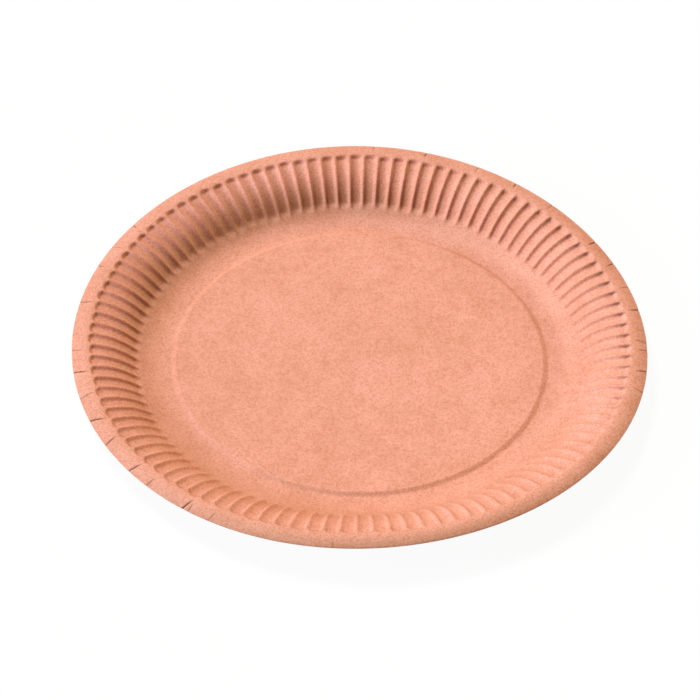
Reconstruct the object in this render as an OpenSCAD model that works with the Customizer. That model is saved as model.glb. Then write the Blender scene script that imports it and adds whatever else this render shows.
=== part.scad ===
// Round fluted plate, pressed in one stroke from a single disc of kraft paperboard.
// Z is up and the plate stands on z = 0, with the axis of its base at the origin.
// Its section, from the middle outwards: a raised centre panel, a small step down, the flat ring
// that it stands on, a hollow fillet, a domed fluted wall, and a rim that rolls over and down.

/* [Plate] */
// Diameter over the rim
plate_d = 230; // [190:1:280]
// Thickness of the paperboard
sheet_t = 0.5; // [0.3:0.05:0.8]

/* [Base] */
// How far the centre panel is pressed up above the ring that the plate stands on
panel_rise = 0.8; // [0.3:0.1:1.5]
// Width of the small step around the centre panel
step_w = 2; // [1:0.1:3]
// Width of the flat ring that the plate stands on
stand_w = 2.1; // [1:0.1:6]

/* [Wall] */
// Width of the smooth fillet between the standing ring and the fluted wall
foot_w = 12.5; // [8:0.1:18]
// Width of the fluted wall, measured flat
wall_w = 16.8; // [10:0.1:25]
// Slope of the wall where it leaves the fillet, in degrees
wall_slope = 40.5; // [28:0.5:55]

/* [Rim] */
// Width of the rim from the top of the wall to the cut edge, measured flat
rim_w = 7.7; // [5:0.1:14]
// Slope where the wall runs into the rim, in degrees
shoulder_slope = 14.5; // [8:0.5:24]
// Slope at which the rim turns down at its cut edge, in degrees
lip_slope = 28.5; // [5:0.5:40]

/* [Flutes] */
// Number of flutes pressed into the wall
flute_count = 108; // [72:1:110]
// Depth of a flute below the sharp ridges beside it, at its top end
flute_depth = 1.1; // [0.3:0.05:1.4]
// Depth of a flute at its lower end
flute_low_depth = 0.8; // [0.1:0.05:1.2]
// How far the flutes start inside the foot of the wall
flute_foot = 1.5; // [0.2:0.1:3]
// How far the flutes run past the top of the wall onto the rim
flute_reach = 1.3; // [0.5:0.1:4]
// Length over which a flute rises out at its top end
flute_end = 1.1; // [0.5:0.1:2]
// Length over which a flute sinks in at its lower end
flute_start = 1.2; // [0.5:0.1:3]
// How much sooner a flute ends at its sides than along its middle, which rounds its top end
flute_arch = 1.5; // [0:0.1:3]
// Bearing of the first ridge, in degrees
flute_turn = 0; // [0:0.1:5]

/* [Warp] */
// How far the rim rises and sinks, twice round, because the board has warped
rim_wave = 2.35; // [0:0.05:5]
// Bearing of the first place where that wave is high, in degrees
rim_wave_at = 103; // [0:1:179]
// How far the rim rises and sinks three times round, on top of that wave
rim_ripple = 0.6; // [0:0.1:2]
// Bearing of the first place where the smaller wave is high, in degrees
rim_ripple_at = 70; // [0:1:119]

/* [Hidden] */

// Samples across one flute: ridge, flank, floor, flank
flute_samples = 4;
// Bands of facets along the fillet, the wall and the rim
foot_bands = 3;
wall_bands = 3;
rim_bands = 3;

// Radii where one stretch of the section gives way to the next
plate_r = plate_d / 2;
rim_r = plate_r - rim_w;
wall_r = rim_r - wall_w;
base_r = wall_r - foot_w;
stand_r = base_r - stand_w;
panel_r = stand_r - step_w;
flute_low_r = wall_r - flute_foot;
flute_top_r = rim_r + flute_reach;

// Sines of the slopes where those stretches meet
wall_sin = sin(wall_slope);
shoulder_sin = sin(shoulder_slope);
lip_sin = -sin(lip_slope);

// Rise at sine s along an arc that is w wide and turns from sine s0 to sine s1
function arc_rise(w, s0, s1, s) = w / (s1 - s0) * (sqrt(1 - s0 * s0) - sqrt(1 - s * s));
foot_rise = arc_rise(foot_w, 0, wall_sin, wall_sin);
wall_rise = arc_rise(wall_w, wall_sin, shoulder_sin, shoulder_sin);

// Sine of the slope of the upper face at radius r, which is level on both sides of the step
function face_sin(r) =
    r <= base_r ? 0 :
    r <= wall_r ? wall_sin * (r - base_r) / foot_w :
    r <= rim_r ? wall_sin + (shoulder_sin - wall_sin) * (r - wall_r) / wall_w :
    shoulder_sin + (lip_sin - shoulder_sin) * (r - rim_r) / rim_w;

// Height of the upper face at radius r, before the board has warped
function face_z(r) =
    r <= panel_r ? sheet_t + panel_rise :
    r <= base_r ? sheet_t :
    r <= wall_r ? sheet_t + arc_rise(foot_w, 0, wall_sin, face_sin(r)) :
    r <= rim_r ? sheet_t + foot_rise + arc_rise(wall_w, wall_sin, shoulder_sin, face_sin(r)) :
    sheet_t + foot_rise + wall_rise + arc_rise(rim_w, shoulder_sin, lip_sin, face_sin(r));

// Lift of the warped board: none on the base, growing with the square of the radius to the rim
function warp_share(r) = r <= base_r ? 0 : (r * r - base_r * base_r) / (plate_r * plate_r - base_r * base_r);
function warp_z(r, a) = warp_share(r) *
    (rim_wave * cos(2 * (a - rim_wave_at)) + rim_ripple * cos(3 * (a - rim_ripple_at)));

// Point at radius r and bearing a, pushed a distance off the upper face along its normal
function skin_point(r, a, off) =
    let (s = face_sin(r), out = r - off * s)
    [out * cos(a), out * sin(a), face_z(r) + off * sqrt(1 - s * s) + warp_z(r, a)];

// Value of step i of n from one value to another
function between(low, high, i, n) = low + (high - low) * i / n;

// Depth of the flute floors at radius r, which grows from their lower end to their top end
flute_full_r = flute_low_r + flute_start;
flute_last_r = flute_top_r - flute_end;
function depth_at(r) =
    between(flute_low_depth, flute_depth, r - flute_full_r, flute_last_r - flute_full_r);

// One ring of points: how many, its radius on the ridges, its radius on the flute floors, and how
// deep the floors lie
function smooth_ring(r) = [flute_count, r, r, 0];
function fluted_ring(r, arch) = [flute_samples * flute_count, r - arch, r, depth_at(r)];
rings = concat(
    [[1, 0, 0, 0]],
    [smooth_ring(panel_r)],
    [smooth_ring(stand_r)],
    [for (i = [0:foot_bands]) smooth_ring(between(base_r, flute_low_r, i, foot_bands))],
    [for (i = [0:wall_bands - 1]) fluted_ring(between(flute_full_r, flute_last_r, i, wall_bands), 0)],
    [fluted_ring(flute_last_r, flute_arch)],
    [[2 * flute_count, flute_top_r - flute_arch, flute_top_r, 0]],
    [for (i = [1:rim_bands]) smooth_ring(between(flute_top_r, plate_r, i, rim_bands))]
);

// How far sample k of a ring lies across its flute: 0 on a ridge and 1 on the floor, along a
// half wave that leaves the ridges sharp and the floor round
function scoop(ring, k) = sin(180 * k * flute_count / ring[0]);
function ring_points(ring, off) = [
    for (k = [0:ring[0] - 1])
    let (across = abs(scoop(ring, k)))
    skin_point(
        ring[1] + (ring[2] - ring[1]) * across,
        flute_turn + 360 * k / ring[0],
        off - ring[3] * across
    )
];

// Index of the first point of each ring, and the number of points in one skin
ring_start = [for (i = 0, n = 0; i < len(rings); n = n + rings[i][0], i = i + 1) n];
skin_count = ring_start[len(rings) - 1] + rings[len(rings) - 1][0];

// Triangles between ring a and ring b, where b has a whole number of points for each one of a
function fan_band(a0, an, b0, bn) =
    let (m = bn / an, middle = ceil(m / 2))
    concat(
        [for (j = [0:bn - 1])
            let (i = floor(j / m), near = (j % m) < m / 2 ? i : i + 1)
            [a0 + near % an, b0 + (j + 1) % bn, b0 + j]],
        an == 1 ? [] : [for (i = [0:an - 1])
            [a0 + i, a0 + (i + 1) % an, b0 + (m * i + middle) % bn]]
    );

function turned(faces) = [for (f = faces) [f[0], f[2], f[1]]];
function band(i) =
    rings[i][0] <= rings[i + 1][0]
        ? fan_band(ring_start[i], rings[i][0], ring_start[i + 1], rings[i + 1][0])
        : turned(fan_band(ring_start[i + 1], rings[i + 1][0], ring_start[i], rings[i][0]));

upper_faces = [for (i = [0:len(rings) - 2]) each band(i)];
lower_faces = [for (f = turned(upper_faces)) [for (k = f) k + skin_count]];

// The cut edge of the board, square to its faces
edge_start = ring_start[len(rings) - 1];
edge_count = rings[len(rings) - 1][0];
edge_faces = [
    for (k = [0:edge_count - 1])
    let (a = edge_start + k, b = edge_start + (k + 1) % edge_count)
    each [[a, b, a + skin_count], [b, b + skin_count, a + skin_count]]
];

module plate() {
    color([0.93, 0.64, 0.52])
        polyhedron(
            points = concat(
                [for (ring = rings) each ring_points(ring, 0)],
                [for (ring = rings) each ring_points(ring, -sheet_t)]
            ),
            faces = concat(upper_faces, lower_faces, edge_faces),
            convexity = 8
        );
}

plate();
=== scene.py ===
# %% [markdown]
# A round paper plate, made step by step for someone who is learning Blender.
#
# The real plate starts as a flat disc of kraft paperboard. One stroke of a warm press turns it into
# a dish: a slightly raised centre panel, a flat ring that it stands on, a hollow fillet, and a wall
# that climbs to a rolled rim. A disc has too much board round its edge to climb a wall, so the press
# gathers the spare board into 108 shallow flutes. Where the rim is bent hardest the board has
# cracked, and as it dried it warped a little.
#
# All of this is one surface. It could be modelled by hand and sculpted, but each of its features
# follows a simple rule in the radius and the bearing, so here it is worked out with numpy as a
# function of those two values.

from math import radians

import bpy
import numpy as np
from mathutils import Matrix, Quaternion, Vector


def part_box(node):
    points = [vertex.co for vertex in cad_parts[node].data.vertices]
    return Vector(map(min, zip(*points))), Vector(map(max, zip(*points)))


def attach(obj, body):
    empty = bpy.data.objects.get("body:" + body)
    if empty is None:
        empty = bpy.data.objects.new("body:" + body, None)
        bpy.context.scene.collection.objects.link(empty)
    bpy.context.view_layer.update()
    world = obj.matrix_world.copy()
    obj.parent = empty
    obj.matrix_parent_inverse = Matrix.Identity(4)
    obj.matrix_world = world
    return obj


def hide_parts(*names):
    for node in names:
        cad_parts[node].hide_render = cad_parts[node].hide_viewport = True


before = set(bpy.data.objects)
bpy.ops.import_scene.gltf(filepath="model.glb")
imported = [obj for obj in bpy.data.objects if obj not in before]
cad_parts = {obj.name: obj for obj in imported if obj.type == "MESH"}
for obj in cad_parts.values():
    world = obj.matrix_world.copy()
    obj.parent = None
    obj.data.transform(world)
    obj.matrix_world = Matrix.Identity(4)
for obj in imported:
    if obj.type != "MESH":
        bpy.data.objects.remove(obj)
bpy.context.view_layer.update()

# %% [markdown]
# Every size is in millimetres here and becomes metres only where a mesh is made. The radius of the
# plate comes from the frame. The others are measured flat, from the axis outwards. The surface stands
# on the same ring as the solid plate and has the same outline. Elsewhere it lies within a millimetre
# of it, and mostly much closer. Its wall is a little fuller, as the shading of the photo asks, and
# its flutes differ a little in depth and place.

# %% Name the sizes of the plate
MM = 0.001
low_corner, high_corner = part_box("plate")
PLATE_R = round((high_corner.x - low_corner.x) / 2 / MM, 3)
SHEET_T = 0.5

STEP_R = 74.95
STEP_W = 2.6
PANEL_RISE = 0.8

BASE_R = PLATE_R - 37.0
FILLET_MID_R = PLATE_R - 29.0
WALL_R = PLATE_R - 24.5
WALL_MID_R = PLATE_R - 16.0
RIM_R = PLATE_R - 7.7
print(f"the plate is {2 * PLATE_R:.1f} mm across and the wall starts at a radius of {WALL_R:.1f} mm")

# %% [markdown]
# The section is a chain of arcs. Along an arc the sine of the slope changes evenly with the flat
# distance, which makes both the slope and the height easy to write down. The little step round the
# centre panel is an S-curve instead, because the board is too stiff to take a sharp corner there.

# %% Work out the section
ARC_ENDS = np.array([BASE_R, FILLET_MID_R, WALL_R, WALL_MID_R, RIM_R, PLATE_R])
END_SLOPES = np.array([0.0, 23.0, 45.2, 26.7, 8.6, -24.8])
END_SINES = np.sin(np.radians(END_SLOPES))


def face_sin(r):
    """Sine of the slope of the upper face: flat, then five arcs joined without a kink."""
    return np.interp(r, ARC_ENDS, END_SINES)


def arc_rise(width, sin0, sin1, sin_now):
    """Rise along an arc: its radius times the drop in the cosine of the slope."""
    return width / (sin1 - sin0) * (np.sqrt(1 - sin0**2) - np.sqrt(1 - sin_now**2))


def smooth(t):
    """S-curve from 0 to 1: three t squared less two t cubed, level at both ends."""
    t = np.clip(t, 0, 1)
    return t * t * (3 - 2 * t)


def face_z(r):
    """Height of the upper face: the panel and its step, plus the rise of each arc so far."""
    z = SHEET_T + PANEL_RISE * smooth((STEP_R + STEP_W / 2 - r) / STEP_W)
    for i in range(len(ARC_ENDS) - 1):
        start, end = ARC_ENDS[i : i + 2]
        z = z + arc_rise(end - start, END_SINES[i], END_SINES[i + 1], face_sin(np.clip(r, start, end)))
    return z


crest_r = np.interp(0, -END_SINES[-2:], ARC_ENDS[-2:])
print(f"the crest of the rim is at a radius of {crest_r:.1f} mm and {face_z(crest_r):.1f} mm high")

# %% [markdown]
# Paperboard takes up and gives off water, and a pressed plate never stays flat. This one has bent
# into a shallow saddle: two sides of the rim stand high and the two between them stand low. The
# lift grows with the square of the radius, as it does on any sheet that bends evenly. Just outside
# the base it sets in gently, so that the board never dips below the floor.

# %% Warp the board
SADDLE = 2.35
SADDLE_AT = radians(103)
RIPPLE = 0.6
RIPPLE_AT = radians(70)
WARP_START_W = 4.0


def warp_z(r, a):
    """Lift of the warped board: a saddle and a smaller three-fold wave, none of it on the base."""
    share = (r**2 - BASE_R**2) / (PLATE_R**2 - BASE_R**2) * smooth((r - BASE_R) / WARP_START_W)
    return share * (SADDLE * np.cos(2 * (a - SADDLE_AT)) + RIPPLE * np.cos(3 * (a - RIPPLE_AT)))


rim_lift = warp_z(PLATE_R, np.radians(np.arange(360)))
print(f"the warp lifts the rim by {rim_lift.min():.1f} to {rim_lift.max():.1f} mm")

# %% [markdown]
# Each flute is a scoop pressed into the board, and what stays between two scoops is a sharp ridge.
# The scoops start suddenly at the foot of the wall, deepen a little as they climb, and end in a
# round thumbnail on the rim. No two flutes are quite alike: their ends and depths differ by a few
# tenths of a millimetre, which chance decides here.
#
# Two lists go round the plate, with a value for every 30 degrees. One is how far the flutes have
# slipped from even spacing, as shares of the pitch, and follows their places in the photo. The other
# is how deep they are, as shares of the usual depth, and is judged from their light and dark.

# %% Space the flutes
FLUTE_COUNT = 108
FLUTE_SLIP = [-0.05, 0.05, 0.03, -0.02, -0.05, 0.05, 0.14, 0.03, -0.03, 0.06, 0.04, -0.04]
FLUTE_DEPTH_SHARE = [0.94, 0.96, 1.17, 1.2, 1.02, 1.11, 1.16, 0.96, 0.85, 0.7, 0.62, 0.82]

CHANCE_SEED = 7
DEPTH_CHANCE = 0.07
TOP_END_CHANCE = 0.22
LOW_END_CHANCE = 0.2
rng = np.random.default_rng(CHANCE_SEED)
own_depth_share = 1 + DEPTH_CHANCE * rng.standard_normal(FLUTE_COUNT)
own_top_shift = TOP_END_CHANCE * rng.standard_normal(FLUTE_COUNT)
own_low_shift = LOW_END_CHANCE * rng.standard_normal(FLUTE_COUNT)


def round_plate(values, a):
    """Value at bearing a, on straight lines between a list of values spread evenly round the plate."""
    steps = np.arange(len(values)) * 2 * np.pi / len(values)
    return np.interp(a, steps, values, period=2 * np.pi)


def flute_slip(a):
    """Slip of the flutes at bearing a, as an angle."""
    return round_plate(FLUTE_SLIP, a) * 2 * np.pi / FLUTE_COUNT


def flute_turn(a):
    """Bearing counted in flutes: a whole number on each ridge."""
    return (a - flute_slip(a)) / (2 * np.pi) * FLUTE_COUNT


def flute_number(turn):
    """Which flute a bearing falls in, from 0 on."""
    return np.floor(turn).astype(int) % FLUTE_COUNT


print(f"chance makes the flutes {own_depth_share.min():.2f} to {own_depth_share.max():.2f} times as deep")

# %% [markdown]
# Across a flute the depth is the sum of two shapes: a steep flank beside each ridge, and half a sine
# wave that makes the floor round. Up the wall it is how deep the floor lies there, times how far the
# flute is open at that radius. Widths across a flute are shares of the pitch, which is the distance
# from ridge to ridge.

# %% Press the flutes
FLUTE_LOW_DEPTH = 0.9
FLUTE_TOP_DEPTH = 1.25
FLANK_SHARE = 0.6
FLANK_W = 0.22
RIDGE_HALF_W = 0.04

FLUTE_LOW_R = 87.2
FLUTE_LOW_LENGTH = 3.0
FLUTE_LOW_ARCH = 0.9
FLUTE_TOP_R = 108.6
FLUTE_TOP_LENGTH = 1.9
FLUTE_TOP_ARCH = 2.0


def flute_ends(r, a):
    """How far a flute is open at its top end and at its low end: 0 outside it and 1 inside it. Each
    end is an arch, which is one less the height of a half circle across the flute."""
    turn = flute_turn(a)
    own = flute_number(turn)
    arch = 1 - np.sqrt(np.clip(1 - (2 * (turn % 1) - 1) ** 2, 0, 1))
    top_end = FLUTE_TOP_R + own_top_shift[own] - FLUTE_TOP_ARCH * arch
    low_end = FLUTE_LOW_R + own_low_shift[own] + FLUTE_LOW_ARCH * arch
    return smooth((top_end - r) / FLUTE_TOP_LENGTH), smooth((r - low_end) / FLUTE_LOW_LENGTH)


def flute_depth(r, a, ridge_half_w):
    """Depth of the scoops: a flank and a bowl across each flute, times how deep the floor lies
    there, how far the flute is open, and the two shares by which it differs from the others."""
    turn = flute_turn(a)
    off_ridge = np.abs((turn + 0.5) % 1 - 0.5)
    flank = smooth((off_ridge - ridge_half_w) / FLANK_W)
    across = FLANK_SHARE * flank + (1 - FLANK_SHARE) * np.sin(np.pi * off_ridge)

    top_open, low_open = flute_ends(r, a)
    floor = np.interp(r, [FLUTE_LOW_R, FLUTE_TOP_R], [FLUTE_LOW_DEPTH, FLUTE_TOP_DEPTH])
    share = round_plate(FLUTE_DEPTH_SHARE, a) * own_depth_share[flute_number(turn)]
    return across * top_open * low_open * floor * share


print(f"the flutes are {2 * np.pi * FLUTE_TOP_R / FLUTE_COUNT:.1f} mm apart at their outer ends")

# %% [markdown]
# Kraft board cracks across the rim, where the press bends it both ways at once. A crack runs in
# from the cut edge, wanders a little, and fades as it goes. Each one is a line in this list, read
# from the photo: its bearings in degrees at the cut edge and at its inner end, how far in it reaches
# in millimetres, how strong it is, and how much it wanders in millimetres.

# %% List the cracks in the rim
CRACKS = [
    # at the edge, at the inner end, reach, strength, wander
    (0.7, 1.2, 5.0, 0.5, 0.1),
    (4.4, 4.2, 4.0, 0.3, 0.1),
    (10.7, 10.1, 5.6, 0.95, 0.05),
    (17.6, 17.1, 5.0, 0.5, 0.05),
    (25.0, 24.1, 5.2, 0.85, 0.1),
    (32.1, 31.5, 5.6, 1.0, 0.05),
    (45.8, 45.3, 5.4, 0.45, 0.15),
    (55.5, 54.9, 5.2, 0.8, 0.05),
    (64.8, 64.2, 5.6, 0.4, 0.1),
    (76.3, 76.4, 5.0, 0.8, 0.1),
    (87.6, 88.2, 5.6, 0.4, 0.3),
    (100.0, 99.8, 4.4, 0.15, 0.1),
    (130.5, 130.2, 4.4, 0.15, 0.1),
    (146.0, 146.9, 3.2, 0.75, 0.05),
    (153.9, 153.5, 6.4, 0.25, 0.2),
    (160.0, 160.1, 3.6, 0.6, 0.05),
    (171.1, 171.3, 6.6, 0.55, 0.35),
    (184.9, 186.0, 6.4, 0.35, 0.1),
    (191.2, 192.2, 6.6, 0.8, 0.15),
    (198.7, 198.2, 6.4, 0.45, 0.15),
    (205.1, 206.4, 6.4, 1.0, 0.1),
    (212.5, 211.8, 6.2, 0.65, 0.15),
    (220.8, 221.6, 5.8, 0.8, 0.1),
    (226.1, 226.2, 4.8, 0.45, 0.1),
    (235.3, 236.1, 5.6, 0.95, 0.1),
    (236.7, 236.5, 4.6, 0.4, 0.05),
    (241.1, 242.0, 4.8, 0.4, 0.1),
    (265.8, 265.6, 4.2, 0.25, 0.1),
    (308.9, 308.6, 4.0, 0.2, 0.1),
    (325.1, 325.4, 4.0, 0.25, 0.1),
    (346.2, 346.7, 4.8, 0.5, 0.1),
    (352.4, 351.7, 4.6, 0.95, 0.1),
    (358.6, 358.2, 4.4, 0.6, 0.1),
]
crack_edge, crack_end, crack_reach, crack_strength, crack_wander = np.array(CRACKS).T
crack_edge = np.radians(crack_edge)
crack_end = np.radians(crack_end)
print(len(CRACKS), "cracks, the longest", crack_reach.max(), "mm")

# %% [markdown]
# A crack has a line that it follows, a groove, and a lip of pushed up board along one side. Torn
# fibres have no clean edge, so the groove is a tent with its top cut flat, and it fades out over the
# inner half of its reach. A groove of the real depth, with nothing else, would hardly show: most of
# what the eye sees is dark, partly the torn fibres and partly the shade in the groove, and the finish
# paints both from the same mark.

# %% Open the cracks
CRACK_HALF_W = 0.4
CRACK_DEPTH = 0.22
CRACK_STEEPNESS = 1.6
CRACK_FADE_SHARE = 0.5
WANDER_TURN = 5.2
WANDER_PHASE = 2
LIP_RISE = 0.07
LIP_AT = 2.2 * CRACK_HALF_W
LIP_SPREAD = 1.3 * CRACK_HALF_W


def crack_line(i, r):
    """Bearing of crack i at radius r: from its one bearing to the other, with a wander that grows
    inwards from the cut edge along most of a wave."""
    along = (PLATE_R - r) / crack_reach[i]
    wander = crack_wander[i] / PLATE_R * np.sin(WANDER_TURN * along + WANDER_PHASE * i) * along
    return crack_edge[i] + (crack_end[i] - crack_edge[i]) * along + wander


def crack_fade(i, r):
    """Strength of crack i at radius r: full over the outer part of its reach, none past its reach."""
    return crack_strength[i] * smooth((1 - (PLATE_R - r) / crack_reach[i]) / CRACK_FADE_SHARE)


def off_line(i, r, a):
    """Distance in millimetres from the line of crack i, with its sign, measured round the plate."""
    return r * ((a - crack_line(i, r) + np.pi) % (2 * np.pi) - np.pi)


def crack_mark(r, a):
    """How cracked the board is, from 0 to 1: a tent over each line, cut flat at 1, times its
    strength there. Where two cracks meet, the stronger counts."""
    mark = np.zeros_like(r + a)
    for i in range(len(CRACKS)):
        tent = np.clip(CRACK_STEEPNESS * (1 - np.abs(off_line(i, r, a)) / CRACK_HALF_W), 0, 1)
        mark = np.maximum(mark, tent * crack_fade(i, r))
    return mark


def crack_lips(r, a):
    """Board pushed up along one side of each crack: a bell beside the line, times its strength."""
    lips = np.zeros_like(r + a)
    for i in range(len(CRACKS)):
        beside = (off_line(i, r, a) + LIP_AT) / LIP_SPREAD
        lips = lips + np.exp(-(beside**2)) * crack_fade(i, r)
    return lips


middle = crack_line(0, PLATE_R - crack_reach[0] / 2)
print(f"halfway in, the first crack is at a bearing of {np.degrees(middle):.2f} degrees")

# %% [markdown]
# The grid decides how much of this shows. Bearings are packed closely beside the ridges of the
# flutes. Beyond the flutes they spread out evenly and then crowd towards the cracks, because a
# groove less than a millimetre wide needs several points across it.

# %% Lay out the grid
TOP_COLUMNS = 16 * FLUTE_COUNT
UNDER_COLUMNS = 8 * FLUTE_COUNT
MIDDLE_COLUMNS = 4 * FLUTE_COUNT
PANEL_COLUMNS = FLUTE_COUNT
RIDGE_PACKING = 0.62
RIDGES_LOW_R = 86
RIDGES_LOW_W = 2
RIDGES_TOP_R = 109.5
CRACK_PACKING = 0.85
CRACK_PULL = radians(1.6)
CRACKS_LOW_R = 108
CHANGE_W = 1.5


def ring_angles(count, r):
    """Bearings of the points of one ring: even ones, crowded at the ridges by a sine wave in the
    fluted wall, and in the rim by a pull towards each crack that reaches 1.6 degrees to each side."""
    a = np.arange(count) / count * 2 * np.pi
    fluted = smooth((r - RIDGES_LOW_R) / RIDGES_LOW_W) * smooth((RIDGES_TOP_R - r) / CHANGE_W)
    a = a + fluted * (flute_slip(a) - RIDGE_PACKING * np.sin(FLUTE_COUNT * a) / FLUTE_COUNT)
    rim = smooth((r - CRACKS_LOW_R) / CHANGE_W)
    moved = np.zeros(count)
    for i in range(len(CRACKS)):
        v = ((a - crack_edge[i] + np.pi) % (2 * np.pi) - np.pi) / CRACK_PULL
        near = np.clip(1 - np.abs(v), 0, 1)
        drift = (crack_line(i, r) - crack_edge[i]) * smooth(near)
        moved = moved + rim * (drift - CRACK_PACKING * CRACK_PULL * v * near**2)
    return a + moved


# Each line says how many points its rings have, and their radii from the inside outwards
TOP_RINGS = [
    (PANEL_COLUMNS, np.linspace(12, 72, 6)),
    (MIDDLE_COLUMNS, np.linspace(73.3, 76.6, 10)),
    (MIDDLE_COLUMNS, np.linspace(78, 87, 7)),
    (TOP_COLUMNS, np.linspace(88, 90.8, 8)),
    (TOP_COLUMNS, np.linspace(92, 104.5, 8)),
    (TOP_COLUMNS, np.linspace(105.4, 109, 12)),
    (TOP_COLUMNS, np.linspace(109.6, 114.2, 8)),
    (TOP_COLUMNS, PLATE_R - np.array([0.3, 0.08, 0.0])),
]
UNDER_RINGS = [
    (PANEL_COLUMNS, np.linspace(12, 72, 4)),
    (MIDDLE_COLUMNS, np.linspace(73.3, 76.6, 7)),
    (MIDDLE_COLUMNS, np.linspace(78, 87, 5)),
    (UNDER_COLUMNS, np.linspace(88, 90.8, 4)),
    (UNDER_COLUMNS, np.linspace(92, 104.5, 5)),
    (UNDER_COLUMNS, np.linspace(105.4, 109, 5)),
    (UNDER_COLUMNS, np.linspace(110, 114.5, 4)),
    (UNDER_COLUMNS, [PLATE_R]),
]
ring_count = 1 + sum(len(radii) for count, radii in TOP_RINGS)
print("the upper skin has", ring_count, "rings, the largest of", TOP_COLUMNS, "points")

# %% [markdown]
# Each point of the plate also carries two marks for the finish. The first is how cracked the board
# is there, together with painted shadows at the top ends of some flutes. The second is how bent the
# board is, together with painted shade. Bent and crushed fibres do look darker and browner, but how
# much so on this plate isn't known. The five lists have a value for every 30 degrees, and these were
# set until the tones of the render came near those of the photo. So they are partly painted shade,
# which the lamps don't give, and it stays on the board in any other light.

# %% Mark the bent board and paint shade on it
# Painted shade, partly bent board: at the foot of the wall, along the cut edge, in the top ends of the
# flutes and on the step, each stronger on some sides than on others.
FOOT_BEND_AND_SHADE = [0.2, 0.05, 0.2, 0.8, 1.0, 0.85, 0.5, 0.25, 0.2, 0.35, 0.45, 0.35]
FOOT_BEND_AND_SHADE_LOW_R = BASE_R + 4
FOOT_BEND_AND_SHADE_TOP_R = WALL_R + 10.5
EDGE_BEND_AND_SHADE = [0.08, 0.0, 0.03, 0.1, 0.15, 0.2, 0.15, 0.2, 0.6, 0.95, 0.85, 0.4]
EDGE_BEND_AND_SHADE_W = 8
END_BEND_AND_SHADE = [0.05, 0.0, 0.0, 0.05, 0.05, 0.15, 0.5, 0.5, 0.4, 0.4, 0.25, 0.1]
STEP_BEND_AND_SHADE = [0.0, 0.0, 0.0, 0.0, 0.0, 0.0, 0.0, 0.0, 0.2, 0.7, 0.35, 0.15]

# A painted shadow in the top end of each flute, on the right side of the plate.
PINCH_SHADOW = [0.85, 0.85, 0.5, 0.1, 0.0, 0.0, 0.0, 0.0, 0.0, 0.0, 0.0, 0.1]
PINCH_SHADOW_AT = 0.84
PINCH_SHADOW_HALF_W = 0.075
PINCH_SHADOW_R = 107.4
PINCH_SHADOW_OUT_LENGTH = 0.7
PINCH_SHADOW_IN_LENGTH = 3.0


def board_bend_and_shade(r, a):
    """How dark the board is painted there, from 0 to 1, for bent board and for shade: humps at the
    foot of the wall, along the cut edge, halfway through the top ends of the flutes and over the
    step, each times its list of values round the plate. Where they overlap, the strongest counts."""
    foot = smooth((r - FOOT_BEND_AND_SHADE_LOW_R) / (WALL_R - FOOT_BEND_AND_SHADE_LOW_R))
    foot = foot * smooth((FOOT_BEND_AND_SHADE_TOP_R - r) / (FOOT_BEND_AND_SHADE_TOP_R - WALL_R)) * round_plate(FOOT_BEND_AND_SHADE, a)
    edge = smooth((r - PLATE_R + EDGE_BEND_AND_SHADE_W) / EDGE_BEND_AND_SHADE_W) * round_plate(EDGE_BEND_AND_SHADE, a)
    top_open = flute_ends(r, a)[0]
    ends = 4 * top_open * (1 - top_open) * round_plate(END_BEND_AND_SHADE, a)
    step = np.clip(1 - ((r - STEP_R) / STEP_W * 2) ** 2, 0, 1) * round_plate(STEP_BEND_AND_SHADE, a)
    return np.max([foot, edge, ends, step], axis=0)


def pinch_shadow(r, a):
    """A painted shadow in one corner of the top end of each flute: a bell across it and along it,
    which falls off sooner outwards than inwards, times its list of values round the plate."""
    across = (flute_turn(a) % 1 - PINCH_SHADOW_AT) / PINCH_SHADOW_HALF_W
    along = (r - PINCH_SHADOW_R) / np.where(r > PINCH_SHADOW_R, PINCH_SHADOW_OUT_LENGTH, PINCH_SHADOW_IN_LENGTH)
    return round_plate(PINCH_SHADOW, a) * np.exp(-(across**2) - along**2)


# The foot of the wall at the back gets the most painted shade.
back_bend_and_shade = board_bend_and_shade(WALL_R, radians(90))
print(f"at the back, the foot of the wall counts as bent by {back_bend_and_shade:.2f}")

# %% [markdown]
# A point of the skin is found by going out to its radius and bearing, up to the height of the
# section there, and then off that face along its normal by the depth of the flutes and cracks. The
# underside is the same surface, pushed a board's thickness further. At the cut edge the upper face
# rolls over a little, as a blade leaves it, and a crack makes a small nick there.

# %% Work out the points of a skin
EDGE_ROUND = 0.09
EDGE_ROUND_W = 0.3
CRACK_NICK = 0.1
CRACK_NICK_W = 1.2
UNDER_SWELL = 0.4 * LIP_RISE


def ring_points(r, a, underside):
    """Points of one ring as an array of x, y and z: the warped section, pushed along its normal."""
    s = face_sin(r)
    mark = crack_mark(r, a)
    if underside:
        off = -SHEET_T - flute_depth(r, a, 2 * RIDGE_HALF_W) - UNDER_SWELL * mark
    else:
        off = -flute_depth(r, a, RIDGE_HALF_W) - CRACK_DEPTH * mark + LIP_RISE * crack_lips(r, a)
        off = off - EDGE_ROUND * smooth((r - PLATE_R + EDGE_ROUND_W) / EDGE_ROUND_W)
    nick = CRACK_NICK * mark * smooth((r - PLATE_R + CRACK_NICK_W) / CRACK_NICK_W)
    out = r - off * s - nick
    z = face_z(r) + off * np.sqrt(1 - s**2) + warp_z(r, a)
    return np.stack([out * np.cos(a), out * np.sin(a), z], axis=1)


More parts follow.
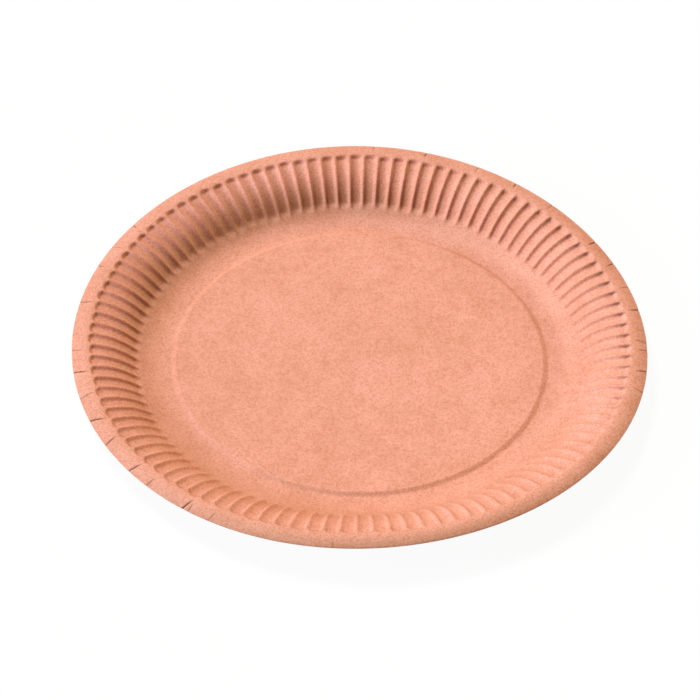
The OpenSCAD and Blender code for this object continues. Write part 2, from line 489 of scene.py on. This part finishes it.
def skin(rings, underside):
    """Points of one skin from the middle outwards, the size of each ring, and for each point its two
    marks: how cracked the board is, with painted shadows, and how bent it is, with painted shade."""
    points = [ring_points(np.zeros(1), np.zeros(1), underside)]
    marks = [np.zeros((1, 2))]
    for count, radii in rings:
        for radius in radii:
            a = ring_angles(count, radius)
            r = np.full(count, radius)
            points.append(ring_points(r, a, underside))
            # The first mark joins the cracks and the painted shadows at the top ends of the flutes.
            cracks_and_painted_shadows = np.maximum(crack_mark(r, a), pinch_shadow(r, a))
            marks.append(np.stack([cracks_and_painted_shadows, board_bend_and_shade(r, a)], axis=1))
    sizes = [len(ring) for ring in points]
    return np.concatenate(points), sizes, np.concatenate(marks)


top_points, top_sizes, top_marks = skin(TOP_RINGS, underside=False)
under_points, under_sizes, under_marks = skin(UNDER_RINGS, underside=True)
print(f"the highest point of the plate is {top_points[:, 2].max():.2f} mm above the floor")

# %% [markdown]
# Rings of the same size are joined by pairs of triangles. Where the next ring has more points, each
# of its short sides reaches back to the nearest point of the coarser ring, and the coarse sides
# close the gaps, like a fan.

# %% Join the rings
def fan_band(start_a, count_a, start_b, count_b):
    """Triangles between a ring and the finer ring outside it, facing up: one for each side of the
    finer ring, and one for each side of the coarser."""
    ratio = count_b // count_a
    j = np.arange(count_b)
    near = (j // ratio + (j % ratio >= ratio / 2)) % count_a
    outer = np.stack([start_a + near, start_b + j, start_b + (j + 1) % count_b], axis=1)
    if count_a == 1:
        return outer
    i = np.arange(count_a)
    middle = (ratio * i + (ratio + 1) // 2) % count_b
    inner = np.stack([start_a + i, start_b + middle, start_a + (i + 1) % count_a], axis=1)
    return np.concatenate([outer, inner])


def skin_faces(sizes, start):
    """Triangles of a whole skin, whose first point has the index start, and the index at which its
    last ring starts."""
    first = start + np.concatenate([[0], np.cumsum(sizes)[:-1]])
    bands = [fan_band(first[i], sizes[i], first[i + 1], sizes[i + 1]) for i in range(len(sizes) - 1)]
    return np.concatenate(bands), first[-1]


print("from 4 points out to 8, a fan has", len(fan_band(0, 4, 4, 8)), "triangles")

# %% [markdown]
# The plate is the two skins and the narrow band of the cut edge between their last rings. The
# underside and that band are turned over, so that every face points outwards. The marks go with the
# mesh as two attributes.

# %% Make the plate
top_faces, top_edge = skin_faces(top_sizes, 0)
under_faces, under_edge = skin_faces(under_sizes, len(top_points))
edge_faces = fan_band(under_edge, under_sizes[-1], top_edge, top_sizes[-1])

points = np.concatenate([top_points, under_points]) * MM
faces = np.concatenate([top_faces, under_faces[:, ::-1], edge_faces[:, ::-1]])
mesh = bpy.data.meshes.new("plate_skin")
mesh.from_pydata(points.tolist(), [], faces.tolist())
marks = np.concatenate([top_marks, under_marks]).astype(np.float32)
# Both marks are partly painted shade and shadow.
mesh.attributes.new("crack_and_painted_shade", "FLOAT", "POINT").data.foreach_set("value", marks[:, 0].copy())
mesh.attributes.new("bent_and_painted_shade", "FLOAT", "POINT").data.foreach_set("value", marks[:, 1].copy())
mesh.shade_smooth()
plate = bpy.data.objects.new("plate_skin", mesh)
bpy.context.scene.collection.objects.link(plate)
print("the plate has", len(points), "points and", len(faces), "triangles")

# %% [markdown]
# A finish is a small tree of nodes. Three helpers keep it short to write: one turns a colour from the
# hex value that a screen shows into the linear light that Blender works with, one adds a node with
# its settings and its links in one go, and one starts a material with an empty tree.

# %% Make helpers for colours and nodes


def linear(hex_colour):
    """Linear colour of an sRGB hex value: the inverse of the screen's curve."""
    c = np.array([int(hex_colour[i : i + 2], 16) for i in (0, 2, 4)]) / 255
    c = np.where(c <= 0.04045, c / 12.92, ((c + 0.055) / 1.055) ** 2.4)
    return (*[float(v) for v in c], 1.0)


def add(tree, kind, settings=None, **inputs):
    """Adds a node. Settings are the node's own; each input is a value or the output of a node."""
    node = tree.nodes.new(kind)
    for name, value in (settings or {}).items():
        setattr(node, name, value)
    for name, value in inputs.items():
        key = int(name[1:]) if name[0] == "_" and name[1:].isdigit() else name.replace("_", " ")
        socket = node.inputs[key]
        if isinstance(value, bpy.types.NodeSocket):
            tree.links.new(value, socket)
        else:
            socket.default_value = value
    return node


def new_material(name):
    """A new material and its tree of nodes, emptied."""
    material = bpy.data.materials.new(name)
    material.use_nodes = True
    material.node_tree.nodes.clear()
    return material, material.node_tree


print(f"a screen's mid grey of 808080 is {linear('808080')[0]:.3f} of white in linear light")

# %% [markdown]
# Kraft paperboard is made from unbleached wood pulp, pressed and dried in a web. Its surface is
# nearly matte, with a faint broad sheen, and looks like felt from close by: short fibres lie in it
# every way, some darker and some paler, and the pulp is a little cloudy because it never spreads
# quite evenly. A tint here is what the colour under it is multiplied by, in red, green and blue. The
# roughness is lower than that of loose board, for the smooth face that the press leaves, and it is
# full where the board is torn.

# %% Choose the colours and the roughness of the board
KRAFT_PINK = "FDB69B"
KRAFT_TAN = "F2AA8B"
# Torn board and painted shade: the dark of the cracks and of the painted shadows in the flutes.
TORN_AND_SHADE = "5C2E08"
FIBRE_TINT = (0.8, 0.6, 0.52, 1.0)
# The tint of bent board and of painted shade.
BEND_AND_SHADE_TINT = (0.69, 0.7, 0.58, 1.0)
ROUGHNESS = 0.6
CELLULOSE_IOR = 1.5
print("the pulp of the board lies between", KRAFT_TAN, "and", KRAFT_PINK)

# %% [markdown]
# The finish is built up in layers. A coarse noise makes the clouds of the pulp, and a fine one the
# fibres and the slight relief of the felt. In both the finer layers are as strong as the coarse one,
# which makes them fleecy. Their widths are real sizes in millimetres. Real fibres are far finer than a
# pixel, so these are drawn as coarse as they need to be to show. On top of that the two marks of the
# mesh darken it where the board is bent and torn, and paint shade into the cracks, the top ends of
# the flutes, the foot of the wall, the cut edge and the step.

# %% Finish the board
CLOUD_W = 36.0
CLOUD_DETAIL = 3.0
CLOUD_STRENGTH = 3.6
FIBRE_W = 0.85
FIBRE_DETAIL = 2.0
FIBRE_SHARE = 0.35
FIBRE_STRENGTH = 4.5
FINE_STRENGTH = 1.0
RELIEF = 0.008


def kraft_board():
    """Pressed kraft paperboard: cloudy pulp and fine felt, darker where it is bent and torn, with painted
    shade and shadows on top.
    """
    material, tree = new_material("kraft_paperboard")
    place = add(tree, "ShaderNodeTexCoord").outputs["Object"]
    cloud = add(
        tree, "ShaderNodeTexNoise",
        Vector=place, Scale=1 / (CLOUD_W * MM), Detail=CLOUD_DETAIL, Roughness=FINE_STRENGTH,
    )
    cloudy = add(
        tree, "ShaderNodeMath", {"operation": "MULTIPLY_ADD", "use_clamp": True},
        _0=cloud.outputs["Fac"], _1=CLOUD_STRENGTH, _2=0.5 - CLOUD_STRENGTH / 2,
    )
    pulp = add(
        tree, "ShaderNodeMix", {"data_type": "RGBA"},
        _0=cloudy.outputs[0], _6=linear(KRAFT_TAN), _7=linear(KRAFT_PINK),
    )
    fibre = add(
        tree, "ShaderNodeTexNoise",
        Vector=place, Scale=1 / (FIBRE_W * MM), Detail=FIBRE_DETAIL, Roughness=FINE_STRENGTH,
    )
    fibrous = add(
        tree, "ShaderNodeMath", {"operation": "MULTIPLY_ADD", "use_clamp": True},
        _0=fibre.outputs["Fac"], _1=FIBRE_STRENGTH, _2=FIBRE_SHARE - FIBRE_STRENGTH / 2,
    )
    felt = add(
        tree, "ShaderNodeMix", {"data_type": "RGBA", "blend_type": "MULTIPLY"},
        _0=fibrous.outputs[0], _6=pulp.outputs[2], _7=FIBRE_TINT,
    )

    # The bend mark darkens the felt, both for bent board and as painted shade.
    bent_and_painted_shade = add(tree, "ShaderNodeAttribute", {"attribute_name": "bent_and_painted_shade"})
    bent_and_shaded = add(
        tree, "ShaderNodeMix", {"data_type": "RGBA", "blend_type": "MULTIPLY"},
        _0=bent_and_painted_shade.outputs["Fac"], _6=felt.outputs[2], _7=BEND_AND_SHADE_TINT,
    )
    # The crack mark paints torn fibres, the shade in the cracks and the shadows at the top ends of the
    # flutes in one dark colour.
    crack_and_painted_shade = add(tree, "ShaderNodeAttribute", {"attribute_name": "crack_and_painted_shade"})
    torn_and_shaded = add(
        tree, "ShaderNodeMix", {"data_type": "RGBA"},
        _0=crack_and_painted_shade.outputs["Fac"], _6=bent_and_shaded.outputs[2], _7=linear(TORN_AND_SHADE),
    )
    rough = add(
        tree, "ShaderNodeMath", {"operation": "MULTIPLY_ADD"},
        _0=crack_and_painted_shade.outputs["Fac"], _1=1 - ROUGHNESS, _2=ROUGHNESS,
    )
    bump = add(tree, "ShaderNodeBump", Distance=RELIEF * MM, Height=fibre.outputs["Fac"])
    shader = add(
        tree, "ShaderNodeBsdfPrincipled",
        Base_Color=torn_and_shaded.outputs[2], Normal=bump.outputs["Normal"],
        Roughness=rough.outputs[0], IOR=CELLULOSE_IOR,
    )
    add(tree, "ShaderNodeOutputMaterial", Surface=shader.outputs["BSDF"])
    return material


mesh.materials.append(kraft_board())
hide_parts("plate")
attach(plate, "root")
print("the finish of the board has", len(mesh.materials[0].node_tree.nodes), "nodes")

# %% [markdown]
# The plate lies on a plain pale floor. The camera sees the floor as white, while the plate only
# gets the light that a pale floor gives back, so the board keeps its colour. The shadow still
# darkens the white a little.

# %% Lay the floor
FLOOR_SIZE = 6.0
FLOOR_PALE = "E8E6E3"
FLOOR_GLOW = 0.95


def floor_finish():
    """Matte pale paper. The camera sees an even white mixed with a small share of lit paper."""
    material, tree = new_material("pale_paper_floor")
    path = add(tree, "ShaderNodeLightPath")
    matte = add(tree, "ShaderNodeBsdfDiffuse", Color=linear(FLOOR_PALE))
    paper = add(tree, "ShaderNodeBsdfDiffuse", Color=(1, 1, 1, 1))
    glow = add(tree, "ShaderNodeEmission", Color=(1, 1, 1, 1), Strength=1.0)
    white = add(tree, "ShaderNodeMixShader", Fac=FLOOR_GLOW, _1=paper.outputs[0], _2=glow.outputs[0])
    seen = add(
        tree, "ShaderNodeMixShader",
        Fac=path.outputs["Is Camera Ray"], _1=matte.outputs[0], _2=white.outputs[0],
    )
    add(tree, "ShaderNodeOutputMaterial", Surface=seen.outputs[0])
    return material


floor_mesh = bpy.data.meshes.new("floor")
half = FLOOR_SIZE / 2
corners = [(-half, -half, 0), (half, -half, 0), (half, half, 0), (-half, half, 0)]
floor_mesh.from_pydata(corners, [], [(0, 1, 2, 3)])
floor_mesh.materials.append(floor_finish())
floor = bpy.data.objects.new("floor", floor_mesh)
bpy.context.scene.collection.objects.link(floor)
print("the floor is", FLOOR_SIZE, "m wide")

# %% [markdown]
# The camera stands off in front and looks down at about 44 degrees through a long lens, which is
# why the far side of the rim looks hardly smaller than the near side. Its picture is turned by about
# a degree, and it aims a few millimetres beside the middle of the plate.

# %% Place the camera
CAMERA_DISTANCE = 1.1285
CAMERA_ELEVATION = radians(44.43)
CAMERA_AIM = Vector((-3.9, 5.2, 0)) * MM
CAMERA_ROLL = radians(0.93)
CAMERA_LENS = 144
CAMERA_SENSOR = 36

camera_at = CAMERA_DISTANCE * Vector((0, -np.cos(CAMERA_ELEVATION), np.sin(CAMERA_ELEVATION)))
camera = bpy.data.objects.new("camera", bpy.data.cameras.new("camera"))
camera.data.lens = CAMERA_LENS
camera.data.sensor_width = CAMERA_SENSOR
camera.location = camera_at
camera.rotation_mode = "QUATERNION"
level = (CAMERA_AIM - camera_at).to_track_quat("-Z", "Y")
camera.rotation_quaternion = level @ Quaternion((0, 0, 1), CAMERA_ROLL)
bpy.context.scene.collection.objects.link(camera)
bpy.context.scene.camera = camera
print(f"the camera is {camera_at.length:.2f} m from the middle of the plate")

# %% [markdown]
# Three soft lamps light the plate. The key stands high up behind it on the left, so the wall at the
# back gets the least of it. A cooler one stands low on the left and a weak warm one low on the
# right: they rake across the wall, and each flute gets a light and a dark flank. Where they stand,
# how strong they are and their colours were fitted to the tones of the photo.

# %% Set the lamps


def lamp(name, bearing, elevation, strength, colour, softness):
    """A far lamp, with its bearing, its elevation and how wide it looks, all in degrees."""
    light = bpy.data.objects.new(name, bpy.data.lights.new(name, "SUN"))
    light.data.energy = strength
    light.data.color = linear(colour)[:3]
    light.data.angle = radians(softness)
    side, up = radians(bearing), radians(elevation)
    towards = Vector((np.cos(side) * np.cos(up), np.sin(side) * np.cos(up), np.sin(up)))
    light.rotation_mode = "QUATERNION"
    light.rotation_quaternion = towards.to_track_quat("Z", "Y")
    light.location = towards
    bpy.context.scene.collection.objects.link(light)
    return light


lamps = [
    lamp("key", bearing=136, elevation=60, strength=2.62, colour="FFFBF7", softness=15),
    lamp("left", bearing=193, elevation=19, strength=2.3, colour="DDE6FF", softness=24),
    lamp("right", bearing=30, elevation=18, strength=0.85, colour="FFE7A8", softness=15),
]
level_light = sum(one.data.energy * one.location.z for one in lamps)
print(f"on a level face the lamps give {level_light:.2f}, where pi shows a colour as it is written")

# %% [markdown]
# A faint warm light from the room fills the shade. The camera sees white in its place, and only the
# camera, so the white behind the plate puts no light on it. The Standard view shows every colour as
# it is worked out.

# %% Light the room
ROOM_COLOUR = "FFD9A8"
ROOM_STRENGTH = 0.04

world = bpy.data.worlds.new("room")
bpy.context.scene.world = world
world.use_nodes = True
world.node_tree.nodes.clear()
path = add(world.node_tree, "ShaderNodeLightPath")
room = add(world.node_tree, "ShaderNodeBackground", Color=linear(ROOM_COLOUR), Strength=ROOM_STRENGTH)
white = add(world.node_tree, "ShaderNodeBackground", Color=(1, 1, 1, 1), Strength=1.0)
seen = add(
    world.node_tree, "ShaderNodeMixShader",
    Fac=path.outputs["Is Camera Ray"], _1=room.outputs[0], _2=white.outputs[0],
)
add(world.node_tree, "ShaderNodeOutputWorld", Surface=seen.outputs[0])
bpy.context.scene.view_settings.view_transform = "Standard"
print("the room gives", ROOM_STRENGTH, "of a white sky")
